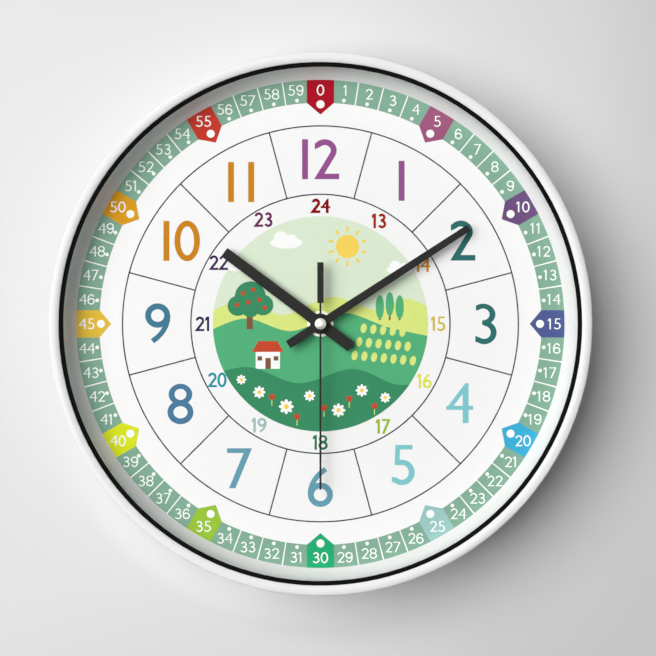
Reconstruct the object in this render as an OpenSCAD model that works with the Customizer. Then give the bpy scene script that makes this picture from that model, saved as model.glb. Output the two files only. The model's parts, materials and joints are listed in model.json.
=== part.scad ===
// Teaching wall clock with a quartz movement, hung on one wall screw.
// Each piece is laid out face up on a bench: X right, Y towards 12, Z towards the viewer, wall at Z 0.
// hung() stands it against the wall: front to -Y, 12 to +Z, origin in the mouth of the hanger keyhole.

/* [Case] */
// overall diameter of the white rim
case_d = 300; // [260:1:340]
// white rim seen from the front, trim ring to outer edge
rim_width = 5.6; // [5:0.1:8]
// radius of the crown of the rim
crown_r = 5; // [4.6:0.1:8]
// rounding of the rim towards the trim ring
lip_round = 0.6; // [0.4:0.1:1]
// rounding of the rim towards the side wall
edge_round = 0.9; // [0.5:0.1:1.2]
// step from the crest of the rim down to the trim ring
lip_depth = 2.6; // [2:0.1:3.5]
// how far trim ring and pane reach under the rim
seat_overlap = 2.6; // [2.4:0.1:3.2]
// inward draft of the side wall at the rear edge
side_draft = 0.6; // [0.2:0.1:0.9]
// screws that hold the back plate
screw_count = 6; // [4:1:8]
// height of the screw bosses inside the case
boss_h = 5; // [4.5:0.5:6]

/* [Front stack] */
// black ring seen inside the rim
trim_show = 2.4; // [1:0.1:3]
// thickness of the black trim ring
trim_t = 1.4; // [1:0.1:2]
// thickness of the pane
lens_t = 2; // [1.5:0.1:3]
// free height between dial and pane
chamber_depth = 14.6; // [13:0.1:20]
// how much the inner wall narrows from pane to dial
spacer_slope = 6.3; // [5:0.1:8]
// hollow of the inner wall, 1 for a straight cone
spacer_hollow = 2.4; // [1.2:0.1:3]
// wall of the sloping inner ring
spacer_wall = 1.5; // [1.2:0.1:2]
// thickness of the printed dial card
sheet_t = 0.4; // [0.3:0.1:0.8]

/* [Back] */
// thickness of the back plate
plate_t = 2; // [1.6:0.1:3]
// height of the stiffening ribs on the back plate
rib_h = 3; // [2:0.5:5]
// from the top of the rim down to the keyhole
hang_margin = 55; // [48:1:70]
// thickness of the steel hanger plate
hanger_t = 1.5; // [1:0.1:2]
// entry hole for the head of the wall screw
keyhole_d = 9; // [7:0.5:10]
// slot for the shank of the wall screw
keyslot_w = 4.6; // [3.5:0.1:5]
// how far the clock drops on the wall screw
keyslot_len = 10; // [8:0.5:11]
// room behind the movement for the set knob
knob_room = 2.5; // [2.3:0.1:6]

/* [Hands] */
// hour hand, axis to tip
hour_len = 66.5; // [55:0.5:80]
// hour hand width at the tip
hour_tip_w = 5.75; // [4:0.05:7]
// hour hand width at the tail
hour_tail_w = 6.35; // [4.5:0.05:7.5]
// minute hand, axis to tip
minute_len = 98; // [85:0.5:108]
// minute hand width at the tip
minute_tip_w = 3.75; // [3:0.05:5]
// minute hand width at the tail
minute_tail_w = 4.85; // [3.5:0.05:6]
// tail length of hour and minute hand
tail_len = 21.3; // [15:0.1:28]
// second hand, axis to tip
second_len = 91.8; // [75:0.1:100]
// second hand width
second_w = 1.1; // [0.8:0.1:1.6]
// counterweight bar width
weight_w = 3.5; // [2.5:0.1:5]
// counterweight bar, near end
weight_from = 11.6; // [9:0.1:14]
// counterweight bar, far end
weight_to = 34.1; // [26:0.1:40]
// sheet thickness of the hands
hand_t = 0.6; // [0.4:0.1:0.8]
// hour hand hub diameter
hour_hub_d = 11.5; // [9:0.1:13]
// minute hand hub diameter
minute_hub_d = 9.4; // [7.5:0.1:11]
// second hand hub diameter
second_hub_d = 7.4; // [6.5:0.1:8.5]
// round cap on the second hand
cap_d = 6.3; // [5:0.1:7]
// dial reading of the hour hand, degrees clockwise from 12
hour_at = 306.75; // [0:0.05:360]
// dial reading of the minute hand
minute_at = 57.05; // [0:0.05:360]
// dial reading of the second hand
second_at = 180; // [0:0.05:360]

/* [Movement] */
// diameter of the AA cell
cell_d = 14.2; // [13.8:0.1:14.5]
// length of the AA cell with its nub
cell_len = 49.8; // [49:0.1:50.5]
// wall of the movement case
mv_wall = 1.2; // [1:0.1:1.5]
// thickness of the movement lid
lid_t = 1.5; // [1.2:0.1:2]
// rubber gasket between movement and back plate
gasket_t = 1; // [0.5:0.1:1.5]
// outer diameter of the threaded bush
bush_d = 8; // [7.6:0.1:9]
// washer diameter under the nut
washer_d = 14.2; // [12:0.1:16]
// washer thickness
washer_t = 0.5; // [0.4:0.1:0.8]
// nut size across flats
nut_af = 10; // [9.6:0.1:12]
// nut height
nut_h = 2.5; // [2:0.1:3]
// gear module of the fast train, the other modules follow from it
train_mod = 0.25; // [0.24:0.002:0.256]
// radial clearance of running pivots and pipes
run_gap = 0.08; // [0.05:0.01:0.1]
// tooth thinning of each gear for backlash
thinning = 0.05; // [0.04:0.01:0.06]
// diameter of the set knob
knob_d = 12; // [10:0.5:14]

/* [Hidden] */
$fn = 96;

// small fits
seat = 0.3;
press = 0.02;

// movement outline
bay_len = cell_len + 3.8;
bay_h = cell_d + 1.4;
part_t = 1;
part_top = -42 * train_mod;
part_low = part_top - part_t;
bay_low = part_low - bay_h;
mv_w = bay_len + 2 * mv_wall;
mv_low = bay_low - mv_wall;
train_room = 148 * train_mod;
mv_high = part_top + train_room + mv_wall;
mv_depth = cell_d + 0.1 + mv_wall;

// heights above the wall
mv_rear = knob_room;
lid_top = mv_rear + lid_t;
mv_front = mv_rear + mv_depth;
mv_in = mv_front - mv_wall;
plate_rear = mv_front + gasket_t;
plate_front = plate_rear + plate_t;
dial_z = plate_front + sheet_t;
lens_rear = dial_z + chamber_depth;
lens_front = lens_rear + lens_t;
trim_front = lens_front + trim_t;
case_depth = trim_front + lip_depth;

// radii of the case stack
case_r = case_d / 2;
hang_height = case_r - hang_margin;
lip_r = case_r - rim_width;
stack_r = lip_r + seat_overlap;
ring_r = stack_r - seat;
crown_x = lip_r + 0.53 * rim_width;
trim_r = lip_r - trim_show;
spacer_low_r = trim_r - spacer_slope;
boss_top_r = cove((boss_h - sheet_t) / chamber_depth) + spacer_wall;
boss_d = stack_r - 0.4 - boss_top_r - 0.5;
boss_r = stack_r - 0.4 - boss_d / 2;
foot_r = boss_r - boss_d / 2 - 0.5;
screw_d = 3;
screw_head_d = 5.2;
csk_r = 2.75;
csk_h = 1.2;
post_hole = 10;
post_d = 7;
hanger_x = 20;
hanger_low = -10;
hanger_high = 16;
post_x = hanger_x - 6;

// layers of the train, one pitch each
pitch = (mv_in - lid_top) / 7.1;
wheel_t = 0.5 * pitch;
over = 0.14 * pitch;
hour_z = mv_in - 0.85 * pitch;
motion_z = hour_z - pitch;
clutch_z = motion_z - pitch;
bridge_top = clutch_z - 0.3 * pitch;
bridge_low = bridge_top - 0.45 * pitch;
third_z = bridge_low - 0.25 * pitch - wheel_t;
second_z = third_z - pitch;
inter_z = second_z - pitch;
boss_z = inter_z - 0.2 * pitch;
pivot_rear = mv_rear + 0.7;
pivot_front = mv_in + 0.5;

// modules and centre distances
second_mod = 1.2 * train_mod;
motion_mod = 1.44 * train_mod;
third_a = train_mod * (10 + 75) / 2;
centre_mod = 2 * third_a / (10 + 80);
inter_a = second_mod * (10 + 50) / 2;
rotor_a = train_mod * (10 + 60) / 2;
motion_a = motion_mod * (15 + 45) / 2;
third_dir = 150;
motion_dir = 60;
inter_dir = -15;
third_at = third_a * [cos(third_dir), sin(third_dir)];
motion_at = motion_a * [cos(motion_dir), sin(motion_dir)];
inter_at = inter_a * [cos(inter_dir), sin(inter_dir)];

// the rotor turns about the intermediate wheel until its stator clears the coil
coil_x = bay_len / 2 - 3.9;
bobbin_r = 3.4;
stator_r = 5.2;
rotor_x = coil_x - bobbin_r - 0.9 - stator_r;
rotor_dir = acos((rotor_x - inter_at[0]) / rotor_a);
rotor_at = inter_at + rotor_a * [cos(rotor_dir), sin(rotor_dir)];

// tooth phases, each wheel set by the one it meshes with
second_ph = 0;
inter_pin_ph = mesh_phase(inter_dir, second_ph, 50, 10);
inter_ph = inter_pin_ph;
rotor_ph = mesh_phase(rotor_dir, inter_ph, 60, 10);
second_pin_ph = 0;
third_ph = mesh_phase(third_dir, second_pin_ph, 10, 75);
third_pin_ph = third_ph;
clutch_ph = mesh_phase(third_dir + 180, third_pin_ph, 10, 80);
cannon_ph = 0;
motion_ph = mesh_phase(motion_dir, cannon_ph, 15, 45);
motion_pin_ph = motion_ph;
hour_ph = mesh_phase(motion_dir + 180, motion_pin_ph, 12, 48);

// arbors and pipes
arbor_r = 0.5;
rotor_arbor_r = 0.4;
knob_arbor_r = 0.8;
minute_pipe_r = 1.75;
hour_pipe_r = 2.5;
bush_bore_r = hour_pipe_r + run_gap;

// heights of the hands
bush_top = dial_z + washer_t + nut_h + 1.1;
hour_hand_z = bush_top + 0.7;
hour_pipe_top = hour_hand_z + hand_t + 0.5;
minute_hand_z = hour_pipe_top + 1.1;
minute_pipe_top = minute_hand_z + hand_t + 0.4;
second_hand_z = minute_pipe_top + 1.2;
second_top = second_hand_z + hand_t;
knob_top = mv_rear - 0.3;
knob_t = 1.7;

// coil of the stepping motor
coil_low = part_top + 7;
coil_high = mv_high - mv_wall - 7.5;
magnet_z = second_z;
magnet_h = bridge_low - 0.3 - magnet_z;
magnet_r = 3;
stator_z = magnet_z + 0.35 * magnet_h;
stator_t = 0.9;
coil_z = stator_z + 1.5 * stator_t;
board_z = mv_in - 3.2;
board_t = 0.8;
board_x = -bay_len / 2 + 0.4;
board_w = 7;
board_high = mv_high - mv_wall - 1.5;
cell_y = bay_low + bay_h / 2;
cell_z = mv_rear + cell_d / 2;
strip_t = 0.4;
plus_x = -bay_len / 2;
cell_x = plus_x + strip_t + 0.5;

// angle of the tooth centre of a wheel with zb teeth that meshes with a wheel of za teeth,
// tooth phase pa, and lies in direction dir from it
function mesh_phase(dir, pa, za, zb) = dir + 180 + (dir - pa) * za / zb - 180 / zb;

// radius of the hollow inner wall at a share t of the height from dial to pane
function cove(t) = spacer_low_r + spacer_slope * (1 - pow(1 - t, spacer_hollow));

// involute function of an angle, in degrees
function inv(a) = tan(a) * 180 / PI - a;

// half the angle that a tooth takes at radius rho
function half_tooth(r, rb, rho, z) = 90 / z - thinning / 2 / r * 180 / PI + inv(30) - inv(acos(rb / rho));

// one tooth, root to tip and back, centred on angle mid
function tooth(z, m, mid) =
    let (r = m * z / 2, rb = r * cos(30), ra = r + 0.8 * m, rf = r - 1.05 * m, r0 = max(rb, rf) + 0.001)
    let (rise = [for (i = [0:2]) r0 + (ra - r0) * i / 2])
    concat(
        [rf * [cos(mid - half_tooth(r, rb, r0, z)), sin(mid - half_tooth(r, rb, r0, z))]],
        [for (q = rise) q * [cos(mid - half_tooth(r, rb, q, z)), sin(mid - half_tooth(r, rb, q, z))]],
        [for (i = [2:-1:0])
            rise[i] * [cos(mid + half_tooth(r, rb, rise[i], z)), sin(mid + half_tooth(r, rb, rise[i], z))]],
        [rf * [cos(mid + half_tooth(r, rb, r0, z)), sin(mid + half_tooth(r, rb, r0, z))]]);

// involute spur gear, 30 degree pressure angle, from height z0 upwards
module gear(z, m, phase, z0, h) {
    translate([0, 0, z0])
    linear_extrude(height = h)
    polygon([for (k = [0:z - 1]) each tooth(z, m, phase + 360 * k / z)]);
}

module hung() {
    translate([0, 0, -hang_height])
    rotate([90, 0, 0])
    children();
}

module tube(r_out, r_in, z0, z1) {
    difference() {
        translate([0, 0, z0]) cylinder(r = r_out, h = z1 - z0);
        translate([0, 0, z0 - 1]) cylinder(r = r_in, h = z1 - z0 + 2);
    }
}

module rod(r, z0, z1) {
    translate([0, 0, z0]) cylinder(r = r, h = z1 - z0);
}

module block(x0, x1, y0, y1, z0, z1) {
    translate([x0, y0, z0]) cube([x1 - x0, y1 - y0, z1 - z0]);
}

// rectangle with round corners between two corner points
module round_rect(x0, x1, y0, y1, r) {
    translate([x0 + r, y0]) square([x1 - x0 - 2 * r, y1 - y0]);
    translate([x0, y0 + r]) square([x1 - x0, y1 - y0 - 2 * r]);
    for (x = [x0 + r, x1 - r]) {
        for (y = [y0 + r, y1 - r]) {
            translate([x, y]) circle(r = r);
        }
    }
}

module slab(x0, x1, y0, y1, r, z0, z1) {
    translate([0, 0, z0])
    linear_extrude(height = z1 - z0)
    round_rect(x0, x1, y0, y1, r);
}

module around(n, r, first) {
    for (k = [0:n - 1]) {
        rotate([0, 0, first + 360 * k / n])
        translate([r, 0, 0])
        children();
    }
}

module cross_recess(z0, z1, size) {
    block(-size / 2, size / 2, -0.35, 0.35, z0, z1);
    block(-0.35, 0.35, -size / 2, size / 2, z0, z1);
}

// white moulded ring with crowned rim and screw bosses
module bezel() {
    crown = [crown_x, case_depth - crown_r];
    lip_x = lip_r + lip_round;
    edge_x = case_r - edge_round;
    lip_at = crown + [lip_x - crown_x, sqrt(pow(crown_r - lip_round, 2) - pow(lip_x - crown_x, 2))];
    edge_at = crown + [edge_x - crown_x, sqrt(pow(crown_r - edge_round, 2) - pow(edge_x - crown_x, 2))];
    color([0.94, 0.94, 0.93])
    hung()
    difference() {
        union() {
            rotate_extrude()
            difference() {
                union() {
                    intersection() {
                        translate(crown) circle(r = crown_r);
                        polygon([crown, crown + 2 * (edge_at - crown), crown + 2 * (lip_at - crown)]);
                    }
                    translate(lip_at) circle(r = lip_round);
                    translate(edge_at) circle(r = edge_round);
                    polygon([[lip_r, trim_front], [lip_r, lip_at[1]], lip_at, edge_at, [case_r, edge_at[1]],
                        [case_r - side_draft, 0.6], [case_r - side_draft - 0.6, 0], [stack_r + 0.5, 0],
                        [stack_r - 0.4, 0.9], [lip_r, 0.9]]);
                }
                translate([0, -1]) square([stack_r, trim_front + 1]);
            }
            around(screw_count, boss_r, 90 / screw_count * 2) {
                rod(boss_d / 2, plate_front, plate_front + boss_h);
                block(0, stack_r - boss_r + 0.6, -2, 2, plate_front, plate_front + boss_h);
            }
        }
        around(screw_count, boss_r, 90 / screw_count * 2)
        rod(screw_d / 2 + press, plate_front - 1, plate_front + boss_h - 0.8);
    }
}

module trim_ring() {
    color([0.05, 0.05, 0.055])
    hung()
    tube(ring_r, trim_r, lens_front, trim_front);
}

module lens() {
    color([0.9, 0.95, 0.96, 0.25])
    hung()
    rod(ring_r, lens_rear, lens_front);
}

// hollow inner wall with a flange under the pane and a foot on the dial
module spacer_ring() {
    steps = 20;
    low = 1.4 / chamber_depth;
    high = 1 - 1.6 / chamber_depth;
    color([0.93, 0.93, 0.92])
    hung()
    rotate_extrude()
    polygon(concat(
        [for (i = [0:steps]) [cove(i / steps), dial_z + chamber_depth * i / steps]],
        [[ring_r, lens_rear], [ring_r, lens_rear - 1.6]],
        [for (i = [steps:-1:0])
            let (t = low + (high - low) * i / steps)
            [cove(t) + spacer_wall, dial_z + chamber_depth * t]],
        [[foot_r, dial_z + 1.4], [foot_r, dial_z]]));
}

module dial_sheet() {
    color([0.96, 0.96, 0.94])
    hung()
    tube(foot_r, bush_d / 2 + 0.2, plate_front, dial_z);
}

// ribbed plate with a locating frame for the movement
module back_plate() {
    rib_a = 62 / 150 * case_r;
    rib_b = boss_r - screw_head_d / 2 - 5;
    color([0.9, 0.9, 0.88])
    hung()
    difference() {
        union() {
            rod(ring_r, plate_rear, plate_front);
            tube(rib_a + 0.8, rib_a - 0.8, plate_rear - rib_h, plate_rear + 0.1);
            tube(rib_b + 0.8, rib_b - 0.8, plate_rear - rib_h, plate_rear + 0.1);
            around(12, (rib_a + rib_b) / 2, 15)
            block((rib_a - rib_b) / 2, (rib_b - rib_a) / 2, -0.7, 0.7, plate_rear - rib_h, plate_rear + 0.1);
            difference() {
                slab(-mv_w / 2 - 2, mv_w / 2 + 2, mv_low - 2, mv_high + 2, 3,
                    plate_rear - rib_h, plate_rear + 0.1);
                slab(-mv_w / 2 - 0.4, mv_w / 2 + 0.4, mv_low - 0.4, mv_high + 0.4, 1.4,
                    plate_rear - rib_h - 1, plate_rear);
            }
        }
        rod(bush_d / 2 + 0.2, plate_rear - 1, plate_front + 1);
        around(screw_count, boss_r, 90 / screw_count * 2)
        rod(screw_d / 2 + 0.2, plate_rear - 1, plate_front + 1);
    }
}

// moulded well on the back plate that takes the screw head and carries the hanger plate
module hanger_box() {
    color([0.9, 0.9, 0.88])
    hung()
    translate([0, hang_height, 0])
    difference() {
        union() {
            difference() {
                slab(-hanger_x, hanger_x, hanger_low, hanger_high, 3, hanger_t, plate_rear);
                slab(-hanger_x + 2, hanger_x - 2, hanger_low + 2, hanger_high - 2, 1,
                    hanger_t - 1, plate_rear + 1);
            }
            for (x = [-post_x, post_x]) {
                translate([x, 0, 0]) rod(post_d / 2, hanger_t, plate_rear);
                block(x < 0 ? x - 5 : x, x < 0 ? x : x + 5, -1.5, 1.5, hanger_t, plate_rear);
            }
        }
        for (x = [-post_x, post_x]) {
            translate([x, 0, 0]) rod(screw_d / 2 + press, hanger_t - 1, hanger_t + post_hole);
        }
    }
}

module back_screws() {
    color([0.72, 0.72, 0.7])
    hung()
    around(screw_count, boss_r, 90 / screw_count * 2)
    difference() {
        union() {
            rod(screw_head_d / 2, plate_rear - 1.6, plate_rear);
            rod(screw_d / 2, plate_rear - 0.1, plate_front + boss_h - 1);
        }
        cross_recess(plate_rear - 2, plate_rear - 0.7, 3.2);
    }
}

// steel plate with a keyhole for the wall screw
module hanger_plate() {
    color([0.66, 0.67, 0.68])
    hung()
    translate([0, hang_height, 0])
    difference() {
        slab(-hanger_x, hanger_x, hanger_low, hanger_high, 3, 0, hanger_t);
        rod(keyhole_d / 2, -1, hanger_t + 1);
        block(-keyslot_w / 2, keyslot_w / 2, 0, keyslot_len, -1, hanger_t + 1);
        translate([0, keyslot_len, 0]) rod(keyslot_w / 2, -1, hanger_t + 1);
        for (x = [-post_x, post_x]) {
            translate([x, 0, 0]) rod(screw_d / 2 + 0.2, -1, hanger_t + 1);
            translate([x, 0, -0.01]) cylinder(r1 = csk_r + 0.15, r2 = screw_d / 2 + 0.2, h = csk_h + 0.01);
        }
    }
}

module hanger_screws() {
    color([0.72, 0.72, 0.7])
    hung()
    for (x = [-post_x, post_x]) {
        translate([x, hang_height, 0])
        difference() {
            union() {
                translate([0, 0, 0.1]) cylinder(r1 = csk_r, r2 = screw_d / 2, h = csk_h);
                rod(screw_d / 2, 1, hanger_t + post_hole - 1);
            }
            cross_recess(-0.5, 0.9, screw_d);
        }
    }
}

module gasket() {
    color([0.08, 0.08, 0.08])
    hung()
    tube(12, bush_d / 2 + 0.1, mv_front, plate_rear);
}

module shaft_washer() {
    color([0.86, 0.84, 0.76])
    hung()
    tube(washer_d / 2, bush_d / 2 + 0.1, dial_z, dial_z + washer_t);
}

module shaft_nut() {
    color([0.86, 0.84, 0.76])
    hung()
    difference() {
        translate([0, 0, dial_z + washer_t]) cylinder(r = nut_af / 2 / cos(30), h = nut_h, $fn = 6);
        rod(bush_d / 2 + press, dial_z, dial_z + washer_t + nut_h + 1);
    }
}

// dial-side shell of the movement with threaded bush, bridge posts and battery bay
module movement_case() {
    color([0.09, 0.09, 0.1])
    hung()
    difference() {
        union() {
            difference() {
                slab(-mv_w / 2, mv_w / 2, mv_low, mv_high, 1, mv_rear, mv_front);
                block(-bay_len / 2, bay_len / 2, part_top, mv_high - mv_wall, mv_rear - 1, mv_in);
                block(-mv_w / 2 - 1, mv_w / 2 + 1, part_low, mv_high + 1, mv_rear - 1, lid_top);
                block(-bay_len / 2, bay_len / 2, bay_low, part_low, mv_rear - 1, mv_in);
                block(plus_x - 0.2, plus_x + 0.6, part_low - 1, part_top + 1, board_z - 3, board_z + 1.2);
                block(plus_x + 2.1, plus_x + 2.9, part_low - 1, part_top + 1, board_z - 3, board_z + 0.4);
            }
            rod(bush_d / 2, mv_front - 0.5, bush_top);
            for (p = bridge_posts) {
                translate([p[0], p[1], 0]) rod(1.6, bridge_top, mv_in + 0.2);
            }
            for (y = [part_top + 8.5, board_high - 3]) {
                translate([board_x + board_w / 2, y, 0]) rod(1.5, board_z + board_t, mv_in + 0.2);
            }
        }
        rod(bush_bore_r, mv_in - 1, bush_top + 1);
        translate([third_at[0], third_at[1], 0]) rod(arbor_r + run_gap, mv_in - 0.5, mv_in + 0.7);
        translate([motion_at[0], motion_at[1], 0]) rod(knob_arbor_r + run_gap, mv_in - 0.5, mv_in + 0.7);
    }
}

bridge_k = train_mod / 0.25;
bridge_right = coil_x - bobbin_r - 0.7;
bridge_posts = [[-15, -7] * bridge_k, [bridge_right - 2, -7 * bridge_k], [-4, 20] * bridge_k];

// rear lid with pivot bosses, stator rests and the opening for the knob arbor
module movement_lid() {
    color([0.11, 0.11, 0.12])
    hung()
    difference() {
        union() {
            slab(-mv_w / 2, mv_w / 2, part_low, mv_high, 1, mv_rear, lid_top);
            difference() {
                slab(-bay_len / 2 + 0.15, bay_len / 2 - 0.15, part_top + 0.15, mv_high - mv_wall - 0.15, 0.5,
                    lid_top - 0.2, lid_top + 0.6);
                block(-bay_len / 2 + 1, bay_len / 2 - 1, part_top + 1, mv_high - mv_wall - 1,
                    lid_top, lid_top + 2);
            }
            for (p = [[0, 0], third_at, inter_at, rotor_at]) {
                translate([p[0], p[1], 0]) rod(1.3, lid_top - 0.2, boss_z);
            }
            for (y = [coil_low - 2.8, coil_high + 2.8]) {
                translate([coil_x + 1.2, y, 0]) rod(1.3, lid_top - 0.2, stator_z);
            }
        }
        for (p = [[0, 0], third_at, inter_at]) {
            translate([p[0], p[1], 0]) rod(arbor_r + run_gap, mv_rear + 0.5, boss_z + 1);
        }
        translate([rotor_at[0], rotor_at[1], 0]) rod(rotor_arbor_r + run_gap, mv_rear + 0.5, boss_z + 1);
        translate([motion_at[0], motion_at[1], 0]) rod(knob_arbor_r + run_gap, mv_rear - 1, lid_top + 1);
    }
}

// plate between the two halves of the train
module train_bridge() {
    color([0.85, 0.82, 0.7])
    hung()
    difference() {
        translate([0, 0, bridge_low])
        linear_extrude(height = bridge_top - bridge_low)
        polygon([[-17, -9] * bridge_k, [bridge_right, -9 * bridge_k], [bridge_right, 8 * bridge_k],
            [0, 22.5] * bridge_k, [-8, 22.5] * bridge_k, [-17, 8] * bridge_k]);
        rod(arbor_r + run_gap, bridge_low - 1, bridge_top + 1);
        translate([inter_at[0], inter_at[1], 0]) rod(arbor_r + run_gap, bridge_low - 1, bridge_top + 1);
        translate([rotor_at[0], rotor_at[1], 0]) rod(rotor_arbor_r + run_gap, bridge_low - 1, bridge_top + 1);
        translate([third_at[0], third_at[1], 0]) rod(1.7, bridge_low - 1, bridge_top + 1);
        translate([motion_at[0], motion_at[1], 0]) rod(1.2, bridge_low - 1, bridge_top + 1);
    }
}

module circuit_board() {
    color([0.12, 0.32, 0.2])
    hung()
    block(board_x, board_x + board_w, part_top + 0.6, board_high, board_z, board_z + board_t);
}

module quartz_can() {
    color([0.75, 0.76, 0.77])
    hung()
    translate([board_x + 2, 10, board_z - 1.02])
    rotate([-90, 0, 0])
    cylinder(r = 1, h = 6);
}

module chip_cap() {
    color([0.03, 0.03, 0.03])
    hung()
    translate([board_x + 3.6, 4, 0])
    difference() {
        translate([0, 0, board_z + 2]) sphere(r = 3);
        rod(4, board_z, board_z + 6);
    }
}

// laminated iron around the rotor with two legs to the coil core
module stator() {
    leg = coil_x - 3.8;
    far = coil_x + 3;
    color([0.5, 0.51, 0.52])
    hung()
    difference() {
        translate([0, 0, stator_z])
        linear_extrude(height = stator_t)
        union() {
            translate(rotor_at) circle(r = stator_r);
            translate([leg - 5, rotor_at[1]]) square([5, coil_high + 5 - rotor_at[1]]);
            translate([leg - 5, coil_high + 0.6]) square([far - leg + 5, 4.4]);
            translate([leg - 5, coil_low - 5]) square([5, rotor_at[1] - coil_low + 5]);
            translate([leg - 5, coil_low - 5]) square([far - leg + 5, 4.4]);
        }
        translate([rotor_at[0], rotor_at[1], 0]) rod(magnet_r + 0.5, stator_z - 1, stator_z + 2);
    }
}

module coil_core() {
    color([0.55, 0.56, 0.57])
    hung()
    block(coil_x - 1.2, coil_x + 1.2, coil_low - 4.6, coil_high + 4.6,
        stator_z + stator_t, stator_z + 2 * stator_t);
}

module coil_bobbin() {
    color([0.92, 0.92, 0.9])
    hung()
    difference() {
        translate([coil_x, coil_low, coil_z])
        rotate([-90, 0, 0])
        union() {
            cylinder(r = 1.9, h = coil_high - coil_low);
            cylinder(r = bobbin_r, h = 0.8);
            translate([0, 0, coil_high - coil_low - 0.8]) cylinder(r = bobbin_r, h = 0.8);
        }
        block(coil_x - 1.25, coil_x + 1.25, coil_low - 1, coil_high + 1, stator_z + stator_t - 0.05,
            stator_z + 2 * stator_t + 0.05);
    }
}

module coil_winding() {
    color([0.72, 0.36, 0.16])
    hung()
    translate([coil_x, coil_low + 0.85, coil_z])
    rotate([-90, 0, 0])
    tube(bobbin_r - 0.3, 1.9 + press, 0, coil_high - coil_low - 1.7);
}

// flat leaf with a dimple for the nub of the cell
module contact_positive() {
    color([0.8, 0.78, 0.7])
    hung()
    union() {
        block(plus_x, plus_x + strip_t, cell_y - 5, part_low - 0.2, board_z - 2.5, board_z + 0.6);
        block(plus_x, plus_x + strip_t, part_low - 0.3, part_top + 3.5, board_z - 2.5, board_z + 0.6);
        block(plus_x, plus_x + strip_t, cell_y - 5, cell_y + 5, cell_z - 4, board_z);
        translate([plus_x + strip_t - 0.1, cell_y, cell_z])
        rotate([0, 90, 0])
        cylinder(r = 1.6, h = 0.5);
    }
}

// leaf with a sprung arch and a return strip along the bay
module contact_negative() {
    right_x = bay_len / 2;
    rise = right_x - strip_t - (cell_x + cell_len) - 0.1;
    bow = 6;
    color([0.8, 0.78, 0.7])
    hung()
    union() {
        block(right_x - strip_t, right_x, cell_y - 5, part_low - 0.1, cell_z - 4, cell_z + 4);
        intersection() {
            translate([right_x - strip_t - rise + bow, cell_y, 0])
            tube(bow, bow - strip_t, cell_z - 2, cell_z + 2);
            block(right_x - strip_t - rise - 1, right_x - strip_t + 0.1, cell_y - 8, cell_y + 8,
                cell_z - 2, cell_z + 2);
        }
        block(plus_x + 2.3, right_x, part_low - 0.5, part_low - 0.5 + strip_t, cell_z + 1, board_z);
        block(plus_x + 2.3, plus_x + 2.7, part_low - 0.5, part_top + 3, board_z - 2.5, board_z);
    }
}

module aa_cell() {
    color([0.2, 0.34, 0.55])
    hung()
    translate([cell_x, cell_y, cell_z])
    rotate([0, 90, 0])
    union() {
        cylinder(r = 2.7, h = 2);
        translate([0, 0, 1.3]) cylinder(r = cell_d / 2 - 0.6, h = 2);
        translate([0, 0, 1.7]) cylinder(r = cell_d / 2, h = cell_len - 2.2);
        translate([0, 0, cell_len - 1]) cylinder(r = cell_d / 2 - 1.5, h = 1);
    }
}

module rotor_magnet() {
    color([0.25, 0.25, 0.27])
    hung()
    translate([rotor_at[0], rotor_at[1], 0])
    tube(magnet_r, rotor_arbor_r + press, magnet_z, magnet_z + magnet_h);
}

module rotor_pinion() {
    color([0.9, 0.88, 0.82])
    hung()
    translate([rotor_at[0], rotor_at[1], 0])
    union() {
        gear(10, train_mod, rotor_ph, inter_z - over, wheel_t + 2 * over);
        rod(rotor_arbor_r, pivot_rear, bridge_top - 0.1);
    }
}

module intermediate_wheel() {
    color([0.88, 0.86, 0.8])
    hung()
    translate([inter_at[0], inter_at[1], 0])
    union() {
        gear(60, train_mod, inter_ph, inter_z, wheel_t);
        gear(10, second_mod, inter_pin_ph, second_z - over, wheel_t + 2 * over);
        rod(arbor_r, pivot_rear, bridge_top - 0.1);
        rod(1, inter_z, second_z);
    }
}

// fourth wheel on the long shaft that carries the second hand
module second_wheel() {
    color([0.92, 0.9, 0.84])
    hung()
    union() {
        gear(50, second_mod, second_ph, second_z, wheel_t);
        gear(10, train_mod, second_pin_ph, third_z - over, wheel_t + 2 * over);
        rod(0.9, second_z, third_z);
        rod(arbor_r, pivot_rear, second_top);
    }
}

module second_hand() {
    color([0.07, 0.07, 0.075])
    hung()
    rotate([0, 0, -second_at])
    difference() {
        union() {
            translate([0, 0, second_hand_z])
            linear_extrude(height = hand_t)
            union() {
                translate([-second_w / 2, -weight_from - 1]) square([second_w, second_len + weight_from + 1]);
                translate([-weight_w / 2, -weight_to]) square([weight_w, weight_to - weight_from]);
                circle(r = second_hub_d / 2);
            }
            rod(1.3, second_hand_z - 0.8, second_hand_z + 0.1);
        }
        rod(arbor_r + press, second_hand_z - 2, second_top + 1);
    }
}

// pale domed cap pressed on the second hand
module second_cap() {
    dome = 5;
    cap_r = cap_d / 2;
    sag = dome - sqrt(dome * dome - cap_r * cap_r);
    color([0.85, 0.84, 0.8])
    hung()
    union() {
        rod(cap_r, second_top, second_top + 0.5);
        intersection() {
            translate([0, 0, second_top + 0.5 + sag - dome]) sphere(r = dome);
            rod(cap_r, second_top + 0.2, second_top + 0.6 + sag);
        }
    }
}

module third_wheel() {
    color([0.9, 0.88, 0.82])
    hung()
    translate([third_at[0], third_at[1], 0])
    union() {
        gear(75, train_mod, third_ph, third_z, wheel_t);
        gear(10, centre_mod, third_pin_ph, clutch_z - over, wheel_t + 2 * over);
        rod(arbor_r, pivot_rear, pivot_front);
    }
}

// centre wheel, held on the minute arbor by the spring so that the hands can be set
module clutch_wheel() {
    color([0.88, 0.86, 0.8])
    hung()
    difference() {
        gear(80, centre_mod, clutch_ph, clutch_z, wheel_t);
        rod(minute_pipe_r + press, clutch_z - 1, clutch_z + 2);
    }
}

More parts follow.
